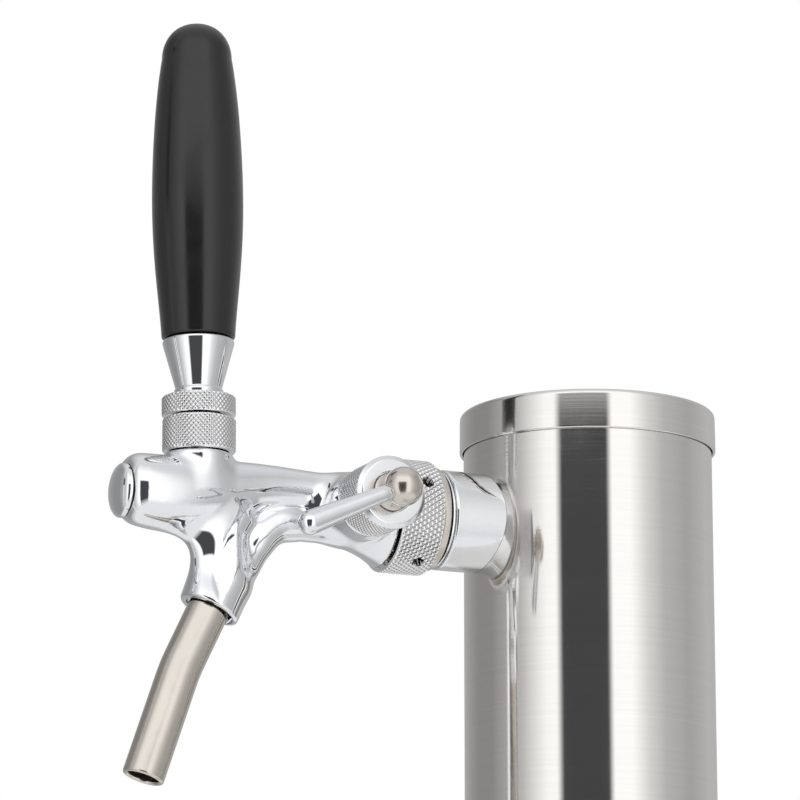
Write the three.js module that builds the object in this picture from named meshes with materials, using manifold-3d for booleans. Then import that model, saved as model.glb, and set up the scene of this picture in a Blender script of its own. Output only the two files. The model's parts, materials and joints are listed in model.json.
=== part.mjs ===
// Single-faucet beer tap tower: a counter column with a cap, a shank through its wall, and a
// forward-pouring faucet with a tilting tap handle and a side lever for flow control.
// Millimetres, +Z up. The origin is on the column's axis, in the plane of the counter.
// The faucet points along -Y, and the flow lever is on its +X side.
import * as THREE from 'three';
import { mergeVertices } from 'three/addons/utils/BufferGeometryUtils.js';
import Module from 'manifold-3d';

const wasm = await Module();
wasm.setup();

// Driving dimensions
const gap = 0.3;                    // clearance between pieces that touch
const columnRadius = 38;            // 3 inch stainless tube
const columnWall = 1.5;
const tapHeight = 290;              // faucet axis above the counter
const gasketThickness = 2;
const flangeRadius = 57.5;
const flangeThickness = 5;
const flangeThroat = 30;            // radius of the hole for the beer lines
const screwCircle = 47.5;           // radius of the circle of base screws
const capRim = 24.6;                // skirt's lower edge above the faucet axis
const capHeight = 12;
const capRadius = 39.2;

const shankRadius = 11.1;           // 7/8 inch thread
const shankBore = 3.2;
const shankCollarRadius = 15.1;
const shankCollarFront = 51.2;      // distances along the faucet start at the column's axis
const nutRadius = 17.2;             // knurled coupling nut
const nutRear = 55.6;
const nutFront = 69;
const nutLip = 1.6;

const leverStation = 128;           // lever axis, forward of the column's axis
const leverPivot = 15;              // ball centre, above the faucet axis
const leverLean = THREE.MathUtils.degToRad(1);       // the closed lever leans a little forward
const ballRadius = 6;
const collarTop = 23.8;
const collarBottom = 13.4;
const collarRadius = 10.85;
const shaftHeight = 3.6;            // valve shaft's axis above the faucet axis
const shaftRadius = 4;
const seatStation = 93;             // valve seat

const flowStation = 80;             // flow control stem, along the faucet
const pinThrow = 2.2;               // eccentric pin's distance from the stem's axis
const glandRadius = 10.6;           // knurled gland round the stem
const glandRear = 14;

const outletTilt = THREE.MathUtils.degToRad(25.6);   // forward of straight down
const outletMouth = { s: 124.6, z: -33.1 };
const spoutRadius = 6.2;
const spoutTilt = THREE.MathUtils.degToRad(18.8);

const steps = { fine: 36, round: 20, small: 12 };

// Colours and finishes
const finish = (color, metalness, roughness) =>
  new THREE.MeshStandardMaterial({ color, metalness, roughness });
const chrome = finish(0xe4e6e8, 1, 0.05);
const brushed = finish(0xbfbdb8, 1, 0.3);
const nickel = finish(0xb9aea0, 1, 0.22);
const brass = finish(0xc9a45c, 1, 0.3);
const steel = finish(0xa8a8a6, 1, 0.35);
const blackGrip = finish(0x131314, 0, 0.3);
const rubber = finish(0x1a1a1a, 0, 0.8);
const washerPlastic = finish(0xe8e4d8, 0, 0.5);

// Geometry helpers -----------------------------------------------------------------------

// Shares the vertices, drops the slivers at the poles and turns the faces outwards.
function closed(geometry) {
  const bare = geometry.clone();
  bare.deleteAttribute('normal');
  bare.deleteAttribute('uv');
  const merged = mergeVertices(bare, 1e-4);
  const old = merged.index.array;
  const kept = [];
  for (let i = 0; i < old.length; i += 3) {
    const [a, b, c] = [old[i], old[i + 1], old[i + 2]];
    if (a !== b && b !== c && c !== a) kept.push(a, b, c);
  }
  merged.setIndex(kept);
  if (signedVolume(merged) < 0) {
    for (let i = 0; i < kept.length; i += 3) [kept[i], kept[i + 1]] = [kept[i + 1], kept[i]];
    merged.setIndex(kept);
  }
  return merged;
}

function signedVolume(geometry) {
  const at = geometry.attributes.position;
  const index = geometry.index.array;
  const [a, b, c] = [new THREE.Vector3(), new THREE.Vector3(), new THREE.Vector3()];
  let sum = 0;
  for (let i = 0; i < index.length; i += 3) {
    a.fromBufferAttribute(at, index[i]);
    b.fromBufferAttribute(at, index[i + 1]);
    c.fromBufferAttribute(at, index[i + 2]);
    sum += a.dot(b.cross(c)) / 6;
  }
  return sum;
}

function toSolid(geometry) {
  const shape = closed(geometry);
  return new wasm.Manifold(new wasm.Mesh({
    numProp: 3,
    vertProperties: new Float32Array(shape.attributes.position.array),
    triVerts: new Uint32Array(shape.index.array),
  }));
}

function toGeometry(solid) {
  const mesh = solid.getMesh();
  const geometry = new THREE.BufferGeometry();
  geometry.setAttribute('position', new THREE.BufferAttribute(new Float32Array(mesh.vertProperties), 3));
  geometry.setIndex(Array.from(mesh.triVerts));
  return geometry;
}

const join = (...parts) => toGeometry(parts.map(toSolid).reduce((sum, next) => sum.add(next)));
const cut = (base, ...tools) =>
  toGeometry(tools.map(toSolid).reduce((sum, next) => sum.subtract(next), toSolid(base)));
const common = (a, b) => toGeometry(toSolid(a).intersect(toSolid(b)));

// A profile of [radius, height] points turned about +Z. It starts and ends on the axis, or
// it is closed here into a ring's section.
function turned(profile, count = steps.round) {
  const points = profile.map(([r, h]) => new THREE.Vector2(r, h));
  const onAxis = profile[0][0] === 0 && profile[profile.length - 1][0] === 0;
  if (!onAxis) points.push(points[0].clone());
  return closed(new THREE.LatheGeometry(points, count).rotateX(Math.PI / 2));
}

const rod = (r, low, high, count) => turned([[0, low], [r, low], [r, high], [0, high]], count);
const ring = (inner, outer, low, high, count) =>
  turned([[inner, low], [outer, low], [outer, high], [inner, high]], count);
const ball = (r, count = steps.small) =>
  closed(new THREE.SphereGeometry(r, count, count / 2).rotateX(Math.PI / 2));
const block = (low, high) => closed(
  new THREE.BoxGeometry(high[0] - low[0], high[1] - low[1], high[2] - low[2])
    .translate((low[0] + high[0]) / 2, (low[1] + high[1]) / 2, (low[2] + high[2]) / 2));

// Points on an arc from angle a to angle b (degrees) about a centre, for profiles.
function arc(centre, radius, a, b, count = 3) {
  return Array.from({ length: count + 1 }, (_, i) => {
    const turn = THREE.MathUtils.degToRad(a + (b - a) * i / count);
    return [centre[0] + radius * Math.cos(turn), centre[1] + radius * Math.sin(turn)];
  });
}

function hexPrism(acrossFlats, low, high) {
  return rod(acrossFlats / Math.sqrt(3), low, high, 6);
}

const forward = (geometry) => geometry.rotateX(Math.PI / 2);      // +Z becomes -Y
const sideways = (geometry) => geometry.rotateY(Math.PI / 2);     // +Z becomes +X

// A tube or bar of round section along points of [station, height] in the faucet's plane
function alongPath(points, radius, stepCount, sides) {
  const path = new THREE.CatmullRomCurve3(points.map(([s, z]) => new THREE.Vector3(0, -s, z)));
  const section = new THREE.Shape().absarc(0, 0, radius, 0, Math.PI * 2);
  return closed(new THREE.ExtrudeGeometry(section,
    { steps: stepCount, extrudePath: path, curveSegments: sides / 2 }));
}

const tower = new THREE.Group();
const faucet = new THREE.Group();                 // its origin is on the faucet's axis
faucet.position.set(0, 0, tapHeight);
tower.add(faucet);

function piece(group, name, geometry, material) {
  const mesh = new THREE.Mesh(geometry, material);
  mesh.name = name;
  group.add(mesh);
  return mesh;
}

// Base and column --------------------------------------------------------------------------

const flangeLow = gasketThickness + gap;
const flangeHigh = flangeLow + flangeThickness;
const screwShank = 2.4;
const screwHead = 5.2;
const columnInner = columnRadius - columnWall;
const capTop = tapHeight + capRim + capHeight;
const capSkin = 1.6;
const columnTop = capTop - capSkin - gap;

function aroundBase(i) {
  const turn = Math.PI / 4 + i * Math.PI / 2;
  return [screwCircle * Math.cos(turn), screwCircle * Math.sin(turn)];
}

function screwHoles(low, high, countersink) {
  return [0, 1, 2, 3].map((i) => {
    const [x, y] = aroundBase(i);
    const wide = screwShank + 0.5;
    const hole = countersink
      ? turned([[0, low], [wide, low], [wide, high - 3.2], [screwHead + 0.5, high - 0.4],
        [screwHead + 0.5, high + 1], [0, high + 1]], steps.small)
      : rod(wide, low, high, steps.small);
    return hole.translate(x, y, 0);
  });
}

function baseGasket() {
  return cut(ring(flangeThroat, flangeRadius - 0.7, 0, gasketThickness, steps.fine),
    ...screwHoles(-1, gasketThickness + 1, false));
}

function baseFlange() {
  const spigot = columnInner - gap;
  const plate = turned([[flangeThroat, flangeLow], [flangeRadius, flangeLow],
    ...arc([flangeRadius - 2, flangeHigh - 2], 2, 0, 90),
    [spigot, flangeHigh], [spigot, flangeHigh + 9], [spigot - 1, flangeHigh + 10],
    [spigot - 3.2, flangeHigh + 10], [spigot - 3.2, flangeHigh], [flangeThroat, flangeHigh]],
  steps.fine);
  return cut(plate, ...screwHoles(flangeLow - 1, flangeHigh, true));
}

function baseScrew() {
  return turned([[0, gap], [screwShank - 0.6, gap], [screwShank, gap + 0.8],
    [screwShank, flangeHigh - 3.2], [screwHead, flangeHigh - 0.5], [screwHead, flangeHigh - 0.1],
    [screwHead - 1.6, flangeHigh + 0.5], [0, flangeHigh + 0.7]], steps.small);
}

function columnTube() {
  const tube = ring(columnInner, columnRadius, flangeHigh + gap, columnTop, steps.fine);
  const shankHole = forward(rod(shankRadius + 0.4, 20, 50, steps.small)).translate(0, 0, tapHeight);
  return cut(tube, shankHole);
}

function topCap() {
  const rim = capTop - capHeight;
  const skirt = columnRadius + gap;
  const under = capTop - capSkin;
  const plug = 34.2;
  return turned([[0, under], [plug - 1, under], [plug - 1, rim + 1], [plug, rim + 1],
    [plug, under], [skirt, under], [skirt, rim], [capRadius, rim],
    ...arc([capRadius - 1.4, capTop - 1.4], 1.4, 0, 90), [0, capTop]], steps.fine);
}

piece(tower, 'base_gasket', baseGasket(), rubber);
piece(tower, 'base_flange', baseFlange(), brushed);
for (let i = 0; i < 4; i++) {
  const [x, y] = aroundBase(i);
  piece(tower, `base_screw_${i + 1}`, baseScrew(), steel).position.set(x, y, 0);
}
piece(tower, 'column_tube', columnTube(), brushed);
piece(tower, 'top_cap', topCap(), brushed);
piece(tower, 'cap_seal', ring(34.5, columnInner - gap, capTop - capHeight + 2.5,
  capTop - capHeight + 6.5, steps.fine), rubber);

// Shank, through the column's wall -----------------------------------------------------------

const shankHole = shankRadius + gap;
const bodyThread = 14.1;
const bodyRear = nutFront + gap;
const shankFlange = nutRear + nutLip + gap;

function shankCollar() {
  const round = 0.8;
  const bar = forward(turned([[0, 36], [shankCollarRadius, 36],
    ...arc([shankCollarRadius - round, shankCollarFront - round], round, 0, 90, 2),
    [0, shankCollarFront]]));
  const column = rod(columnRadius + gap, -25, 25, steps.fine * 2);
  return cut(bar, column, forward(rod(shankHole, 30, 60)));
}

function saddleWasher() {
  const bar = forward(rod(16, 30.7, 45));
  const column = rod(columnInner - gap, -25, 25, steps.fine * 2);
  return cut(common(bar, column), forward(rod(shankHole, 20, 60)));
}

function shankBody() {
  return forward(turned([[shankBore, 4], [shankRadius - 0.8, 4], [shankRadius, 4.8],
    [shankRadius, shankFlange], [bodyThread, shankFlange], [bodyThread, 59.6], [7, 59.6], [7, 55],
    [shankBore, 53]]));
}

function tailElbow() {
  const route = [[0.5, 0], [-5, 0], [-10, -1.3], [-13.4, -4.8], [-14.6, -10], [-14.6, -34]];
  const flange = forward(rod(8.5, 0.3, 2.3));
  const barbs = [-20, -25, -30].map((z) =>
    turned([[0, z - 3.6], [3.6, z - 3.6], [5.2, z], [3.6, z + 0.3], [0, z + 0.3]], 10)
      .translate(0, 14.6, 0));
  const bore = [[4, 0], ...route.slice(0, -1), [-14.6, -36]];
  return cut(join(alongPath(route, 4.2, 9, 10), flange, ...barbs), alongPath(bore, 2.6, 10, 8));
}

function tailNut() {
  const hex = forward(hexPrism(26, -1.7, 11));
  return cut(hex, forward(rod(4.8, -5, 5)), forward(rod(shankHole, 0, 15)));
}

function couplingNut() {
  const inside = bodyThread + gap;
  const holeStation = 60.8;
  const holeTurn = 27.5;             // first spanner hole, up from the faucet's side, in degrees
  const shell = forward(turned([[shankHole, nutRear], [nutRadius - 0.5, nutRear],
    [nutRadius, nutRear + 0.5], [nutRadius, nutFront - 0.5], [nutRadius - 0.5, nutFront],
    [inside, nutFront], [inside, nutRear + nutLip], [shankHole, nutRear + nutLip]], steps.fine));
  const holes = [0, 1, 2, 3].map((i) => sideways(rod(1.8, nutRadius - 1.5, nutRadius + 2, 8))
    .translate(0, -holeStation, 0).rotateY(-THREE.MathUtils.degToRad(holeTurn + 90 * i)));
  return cut(shell, ...holes);
}

piece(faucet, 'shank_collar', shankCollar(), chrome);
const lockRingRear = shankCollarFront + 1.9;
const lockRingFront = nutRear - gap;
piece(faucet, 'collar_washer', forward(ring(shankHole, 13.9, shankCollarFront + gap,
  lockRingRear - gap)), rubber);
piece(faucet, 'shank_lock_ring', forward(turned([[shankHole, lockRingRear], [15, lockRingRear],
  [15.6, lockRingRear + 0.5], [15.6, lockRingFront - 0.5], [15, lockRingFront],
  [shankHole, lockRingFront]])), nickel);
piece(faucet, 'shank', shankBody(), brass);
piece(faucet, 'saddle_washer', saddleWasher(), steel);
piece(faucet, 'shank_nut', cut(forward(hexPrism(32, 21.5, 30.4)),
  forward(rod(shankHole, 20, 32))), brass);
piece(faucet, 'tail_washer', forward(ring(3.5, 8.5, 2.6, 3.7)), rubber);
piece(faucet, 'tail_elbow', tailElbow(), steel);
piece(faucet, 'tail_nut', tailNut(), brass);
piece(faucet, 'coupling_washer', forward(ring(8.6, 13, 59.9, 60.9)), rubber);
piece(faucet, 'coupling_nut', couplingNut(), chrome);

// Faucet body --------------------------------------------------------------------------------

// A point on the outlet's axis, a distance back up from its mouth: [station, height]
const upOutlet = (distance) => [outletMouth.s - distance * Math.sin(outletTilt),
  outletMouth.z + distance * Math.cos(outletTilt)];

// Something turned about +Z, moved so that it points up the outlet from its mouth
const inOutlet = (geometry) => geometry.rotateX(-outletTilt)
  .translate(0, -outletMouth.s, outletMouth.z);

const bulbHeight = 0.6;
const neckRadius = 10;
const wellRadius = 6.2;
const spigotTop = 15.3;

function bodyOutside() {
  const inlet = forward(turned([[0, 61.2], [bodyThread - 0.6, 61.2], [bodyThread, 61.8],
    [bodyThread, bodyRear], [15.6, bodyRear], [15.5, 71], [14.8, 74], [13.3, 78], [11.9, 84],
    [10.9, 90], [10, 95], [0, 97]]));
  const barrel = forward(rod(6.4, 90, 138)).translate(0, 0, 4.7);
  const passage = forward(rod(4.9, 90, 112)).translate(0, 0, -5.4);
  const bend = ball(4.9).translate(0, -112, -5.4);
  const bulb = forward(turned([[0, 126], [8.5, 129], [10.6, 134], [10.8, 140], [10.3, 146],
    [9.8, 149.5], [9.2, 151.2], [8.4, 152], [0, 152]])).translate(0, 0, bulbHeight);
  const belly = ball(11, 16).translate(0, -123.5, -5.5);
  const neck = turned([[0, -4], [neckRadius, -4], [neckRadius, 13.1], [8.4, 13.1],
    [8.4, spigotTop], [0, spigotTop]]).translate(0, -leverStation, 0);
  const outlet = inOutlet(turned([[0, 0], [8.9, 0], [9.2, 0.5], [9.4, 8], [10.2, 18], [9.6, 26],
    [0, 30]]));
  const seat = glandRear - gap;
  const boss = sideways(turned([[0, 0], [10.3, 0], [10.3, seat], [7.5, seat], [7.5, 22], [0, 22]]))
    .translate(0, -flowStation, 0);
  return join(inlet, barrel, passage, bend, bulb, belly, neck, outlet, boss);
}

function bodyHollows() {
  const taper = forward(turned([[0, 60], [9.4, 60], [9, 66], [7, 77], [0, 77]]));
  const chamber = forward(rod(6.9, 74, seatStation)).translate(0, 0, 1.4);
  const seatBore = forward(rod(3.3, 92, 104, steps.small)).translate(0, 0, shaftHeight);
  const guide = forward(rod(shaftRadius + gap, 102, 139.5, steps.small))
    .translate(0, 0, shaftHeight);
  const port = rod(2.4, -5.4, shaftHeight, steps.small).translate(0, -99, 0);
  const passage = forward(rod(3.2, 96.5, 113, steps.small)).translate(0, 0, -5.4);
  const outlet = inOutlet(turned([[0, -1], [7.5, -1], [7.5, 2.5], [6.6, 2.5], [6.6, 4],
    [7.9, 4], [7.9, 6.5], [6.6, 6.5], [6.6, 15], [4.4, 15], [4.4, 27], [0, 27]]));
  const well = turned([[0, shaftHeight], [wellRadius, shaftHeight], [wellRadius, 10.9],
    [7, 10.9], [7, spigotTop + 1], [0, spigotTop + 1]]).translate(0, -leverStation, 0);
  const frontBore = forward(turned([[0, 138], [6.9, 138], [6.9, 149.5], [7.9, 149.5],
    [7.9, 153], [0, 153]])).translate(0, 0, bulbHeight);
  const stemBore = sideways(rod(3.3, 0, 24, steps.small)).translate(0, -flowStation, 0);
  const glandSeat = sideways(ring(7.5, glandRadius + gap, glandRear - gap, 20))
    .translate(0, -flowStation, 0);
  return [taper, chamber, seatBore, guide, port, passage, outlet, well, frontBore, stemBore,
    glandSeat];
}

piece(faucet, 'faucet_body', cut(bodyOutside(), ...bodyHollows()), chrome);
piece(faucet, 'front_plug', forward(turned([[0, 144], [6, 144], [6.6, 144.6], [6.6, 152.3],
  [8.1, 152.3], [7.4, 153.6], [5.6, 155.1], [3, 156], [0, 156.3]]))
  .translate(0, 0, bulbHeight), chrome);
piece(faucet, 'plug_seal', forward(ring(6.9, 7.6, 149.8, 151.7)).translate(0, 0, bulbHeight), rubber);

// Valve, inside the body -----------------------------------------------------------------------

const slotHalf = 3.3;

function valveShaft() {
  const groove = (s) => [[shaftRadius, s], [2.8, s], [2.8, s + 2.6], [shaftRadius, s + 2.6]];
  const bar = forward(turned([[0, 97], [1.4, 97], [1.4, 90], [1.9, 90], [1.9, 93.1], [2.9, 93.1],
    [2.9, 94.6], [1.9, 94.6], [1.9, 109], [shaftRadius, 109], ...groove(110.2), ...groove(114.7),
    [shaftRadius, 135.4], [shaftRadius - 0.6, 136], [0, 136]], steps.small))
    .translate(0, 0, shaftHeight);
  const slot = block([-2.6, -leverStation - slotHalf, 1], [2.6, -leverStation + slotHalf, 9]);
  return cut(bar, slot);
}

const shaftRing = (s) => forward(ring(3.1, shaftRadius, s, s + 2, steps.small))
  .translate(0, 0, shaftHeight);

piece(faucet, 'valve_shaft', valveShaft(), steel);
piece(faucet, 'shaft_oring_rear', shaftRing(110.5), rubber);
piece(faucet, 'shaft_oring_front', shaftRing(115), rubber);
piece(faucet, 'valve_seal', forward(ring(2.2, 4.2, 90.2, 92.7, steps.small))
  .translate(0, 0, shaftHeight), rubber);
piece(faucet, 'seal_screw', forward(turned([[0, 87.4], [2.3, 87.4], [2.6, 87.8], [2.6, 89.7],
  [1.1, 89.7], [1.1, 96], [0, 96]], steps.small)).translate(0, 0, shaftHeight), steel);

// Lever and handle, about the lever's own axis ---------------------------------------------------

const lever = new THREE.Group();
lever.position.set(0, -leverStation, 0);
faucet.add(lever);
const stick = new THREE.Group();    // what tilts, about the ball's centre
stick.position.set(0, 0, leverPivot);
stick.rotation.x = leverLean;
lever.add(stick);

const stemRadius = 3;
const studRadius = 4.7;
const sweep = 13.83;                // nothing on the lever but its stem comes inside this radius
const jamBottom = 24.6;
const jamTop = 30.4;
const ferruleTop = 47.6;
const handleBottom = 47.9;
const handleTop = 145;

function ballLever() {
  const finger = turned([[0, shaftHeight], [1.1, shaftHeight], [1.1, leverPivot],
    [stemRadius, leverPivot], [stemRadius, jamTop - 0.5], [studRadius, jamTop + 1],
    [studRadius, 71], [studRadius - 1, 72], [0, 72]], steps.small);
  return join(finger, ball(ballRadius, 16).translate(0, 0, leverPivot),
    ball(2.2, 12).translate(0, 0, shaftHeight));
}

function leverCollar() {
  return turned([[8.7, collarBottom], [collarRadius - 0.6, collarBottom],
    [collarRadius, collarBottom + 0.6], [collarRadius, collarTop - 0.8],
    [collarRadius - 0.8, collarTop], [9.2, collarTop], [5.85, 18.2], [5.85, 17.4], [8.7, 17.4]]);
}

// The nut's underside is hollowed to a sphere about the lever's pivot, which clears the collar.
function jamNut() {
  const rimAngle = THREE.MathUtils.radToDeg(Math.asin((jamBottom - leverPivot) / sweep));
  const boreAngle = THREE.MathUtils.radToDeg(Math.acos((studRadius + gap) / sweep));
  return turned([[collarRadius + 0.1, jamBottom], [collarRadius + 0.1, jamTop - 0.6],
    [collarRadius - 0.5, jamTop], [studRadius + gap, jamTop],
    ...arc([0, leverPivot], sweep, boreAngle, rimAngle, 6)]);
}

// Tap handle's outside, as [radius, height above its lower end]
function handleProfile() {
  const swell = new THREE.CatmullRomCurve3([[10.2, 0], [10.85, 2.5], [11.6, 10.8], [12.5, 20.5],
    [13.15, 30], [13.5, 39.5], [13.4, 48.5], [13.1, 58.5], [12.5, 67.5], [11.6, 77], [10.6, 86.5]]
    .map(([r, h]) => new THREE.Vector3(r, h, 0))).getPoints(12).map((p) => [p.x, p.y]);
  const length = handleTop - handleBottom;
  return [...swell, ...arc([0, length - 10], 10, 8, 80, 4), [0, length]];
}

function tapHandle() {
  const outside = handleProfile();
  return turned([[0, 28], [6.6, 28], [6.6, 0], ...outside]).translate(0, 0, handleBottom);
}

piece(lever, 'seat_washer', ring(5.75, 6.7, 11.2, 12.4), washerPlastic);
piece(lever, 'ball_washer', ring(6.35, 8.4, 15.6, 17.1), washerPlastic);
piece(lever, 'lever_collar', leverCollar(), chrome);

function handleFerrule() {
  return turned([[studRadius + gap, 30.7], [7.3, 30.7], [7.3, 32.6], [6.9, 33], [10.4, 46.2],
    [10.4, 46.9], [9.7, ferruleTop], [studRadius + gap, ferruleTop]]);
}

// These are drawn at their heights above the faucet's axis, then hung from the pivot.
for (const [name, geometry, material] of [['ball_lever', ballLever(), steel],
  ['handle_jam_nut', jamNut(), chrome], ['handle_ferrule', handleFerrule(), chrome],
  ['handle_insert', ring(studRadius + gap, 6.3, 49, 74), brass],
  ['tap_handle', tapHandle(), blackGrip]]) {
  piece(stick, name, geometry.translate(0, 0, -leverPivot), material);
}

// Spout ------------------------------------------------------------------------------------------

function spoutTube() {
  const bend = upOutlet(-19);
  const start = upOutlet(14.5);
  const along = (from, tilt, d) => [from[0] + d * Math.sin(tilt), from[1] - d * Math.cos(tilt)];
  const length = 35.2;
  const route = (extra) => [along(start, outletTilt, -extra), upOutlet(4), upOutlet(-8),
    upOutlet(-15), along(bend, spoutTilt, 4), along(bend, spoutTilt, 14),
    along(bend, spoutTilt, length + extra)];
  return cut(alongPath(route(0), spoutRadius, 10, 20), alongPath(route(1), 4.6, 10, 20));
}

piece(faucet, 'spout_tube', spoutTube(), nickel);
piece(faucet, 'spout_oring', inOutlet(ring(6.55, 7.55, 4.3, 6.2)), rubber);

// Flow control -------------------------------------------------------------------------------------

const flow = new THREE.Group();     // its +Z is the stem's axis, which points along +X
flow.position.set(0, -flowStation, 0);
flow.rotation.y = Math.PI / 2;
faucet.add(flow);

const flowBall = 40;                // ball centre, out from the faucet's axis
const flowBallRadius = 5.8;
const discRadius = 10.9;
const flowRodTilt = THREE.MathUtils.degToRad(24);

// The group's +X is straight down once it is turned, so the eccentric pin is set along it.
function flowStem() {
  const stem = rod(3, 3.8, 35.2, steps.small);
  const pin = rod(1, -1.5, 5, 16).translate(pinThrow, 0, 0);
  return join(stem, pin);
}

function flowGland() {
  return turned([[3.3, 30], [glandRadius - 0.7, 30], [glandRadius, 29.3],
    [glandRadius, glandRear + 0.6], [glandRadius - 0.6, glandRear], [7.8, glandRear],
    [7.8, 22.3], [5.6, 22.3], [5.6, 24.9], [3.3, 24.9]]);
}

function flowRod() {
  const reach = 35.6;
  const tip = 3.6;
  return turned([[0, flowBallRadius + gap], [2.5, flowBallRadius + gap], [tip, reach - 4],
    ...arc([0, reach - tip], tip, 12, 78, 3), [0, reach]], steps.small)
    .rotateX(Math.PI / 2).rotateZ(flowRodTilt).translate(0, 0, flowBall);
}

function flowBallShape() {
  const low = 35.5;
  return common(ball(flowBallRadius, 16).translate(0, 0, flowBall), rod(8, low, 60));
}

piece(flow, 'flow_stem', flowStem(), steel);
piece(flow, 'stem_oring', ring(3.3, 5.3, 22.6, 24.6, steps.small), rubber);
piece(flow, 'flow_gland', flowGland(), chrome);
piece(flow, 'flow_disc', turned([[3.3, 30.3], [discRadius, 30.3], [discRadius, 31.3],
  [discRadius - 1, 32.3], [3.3, 32.3]]), chrome);
piece(flow, 'flow_hub', turned([[3.3, 32.6], [5.8, 32.6], [5.8, 33.2], [3.8, 35.2],
  [3.3, 35.2]], steps.small), nickel);
piece(flow, 'flow_ball', flowBallShape(), nickel);
piece(flow, 'flow_rod', flowRod(), chrome);

function compensator() {
  const cone = forward(turned([[0, 63.5], [2, 63.5], [3, 64.2], [6.3, 70.5], [6.3, 74.5],
    [0, 74.5]], steps.small));
  const tongue = block([-2.5, -84.5, -4.6], [2.5, -74, -0.8]);
  const slot = block([-4, -flowStation - 1.5, -3.6], [4, -flowStation + 1.5, 0]);
  return cut(join(cone, tongue), slot);
}

piece(faucet, 'compensator_cone', compensator(), washerPlastic);

export default tower;
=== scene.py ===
# Beer tap tower: the looks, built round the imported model.
# Lengths in the settings dictionaries are millimetres; mm turns them into Blender's metres.
import bmesh
import bpy
import json
import math
import numpy as np
from mathutils import Matrix, Vector


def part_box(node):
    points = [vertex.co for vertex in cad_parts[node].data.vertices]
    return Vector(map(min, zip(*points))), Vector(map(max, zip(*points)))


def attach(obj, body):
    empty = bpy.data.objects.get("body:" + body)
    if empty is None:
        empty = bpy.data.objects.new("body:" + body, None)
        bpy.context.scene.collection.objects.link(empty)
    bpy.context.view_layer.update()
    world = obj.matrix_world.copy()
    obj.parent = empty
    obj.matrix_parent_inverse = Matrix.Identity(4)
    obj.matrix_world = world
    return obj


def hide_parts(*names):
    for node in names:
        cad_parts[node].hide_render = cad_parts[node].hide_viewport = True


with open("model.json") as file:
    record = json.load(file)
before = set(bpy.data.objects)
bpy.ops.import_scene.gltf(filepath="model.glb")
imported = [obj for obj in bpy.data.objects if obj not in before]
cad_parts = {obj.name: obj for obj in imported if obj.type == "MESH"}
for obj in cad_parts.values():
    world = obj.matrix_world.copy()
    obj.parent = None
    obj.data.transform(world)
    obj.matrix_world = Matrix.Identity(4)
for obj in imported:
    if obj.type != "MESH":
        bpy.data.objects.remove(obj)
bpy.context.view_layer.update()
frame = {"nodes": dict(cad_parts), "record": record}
mm = 0.001


def middle(node):
    low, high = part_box(node)
    return (low + high) / 2


# Landmarks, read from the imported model
tapHeight = middle("shank").z / mm
leverStation = -middle("lever_collar").y / mm
flowStation = -middle("flow_gland").y / mm
valveHeight = middle("valve_seal").z / mm - tapHeight
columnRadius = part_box("column_tube")[1].x / mm
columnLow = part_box("column_tube")[0].z / mm
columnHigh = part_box("column_tube")[1].z / mm
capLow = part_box("top_cap")[0].z / mm
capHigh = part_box("top_cap")[1].z / mm
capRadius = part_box("top_cap")[1].x / mm
print("frame loaded: tap axis at", round(tapHeight, 1), "mm")


# Shader groups shared by the materials

def newGroup(name, inputs, outputs):
    group = bpy.data.node_groups.new(name, "ShaderNodeTree")
    for label, kind, value in inputs:
        socket = group.interface.new_socket(label, in_out="INPUT", socket_type=kind)
        if value is not None:
            socket.default_value = value
    for label, kind in outputs:
        group.interface.new_socket(label, in_out="OUTPUT", socket_type=kind)
    return group, group.nodes.new("NodeGroupInput"), group.nodes.new("NodeGroupOutput")


def mathNode(tree, operation, a, b=None, clamp=False):
    node = tree.nodes.new("ShaderNodeMath")
    node.operation = operation
    node.use_clamp = clamp
    for socket, value in zip(node.inputs, (a, b)):
        if isinstance(value, bpy.types.NodeSocket):
            tree.links.new(value, socket)
        elif value is not None:
            socket.default_value = value
    return node.outputs[0]


def noiseNode(tree, vector, scale, detail=3.0, roughness=0.5, distortion=0.0):
    node = tree.nodes.new("ShaderNodeTexNoise")
    tree.links.new(vector, node.inputs["Vector"])
    if isinstance(scale, bpy.types.NodeSocket):
        tree.links.new(scale, node.inputs["Scale"])
    else:
        node.inputs["Scale"].default_value = scale
    node.inputs["Detail"].default_value = detail
    node.inputs["Roughness"].default_value = roughness
    node.inputs["Distortion"].default_value = distortion
    return node.outputs["Fac"]


def stretched(tree, vector, scale):
    node = tree.nodes.new("ShaderNodeMapping")
    node.inputs["Scale"].default_value = scale
    tree.links.new(vector, node.inputs["Vector"])
    return node.outputs["Vector"]


def mapRange(tree, value, low, high, newLow, newHigh):
    node = tree.nodes.new("ShaderNodeMapRange")
    tree.links.new(value, node.inputs["Value"])
    for label, number in (("From Min", low), ("From Max", high), ("To Min", newLow), ("To Max", newHigh)):
        if isinstance(number, bpy.types.NodeSocket):
            tree.links.new(number, node.inputs[label])
        else:
            node.inputs[label].default_value = number
    return node.outputs["Result"]


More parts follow.
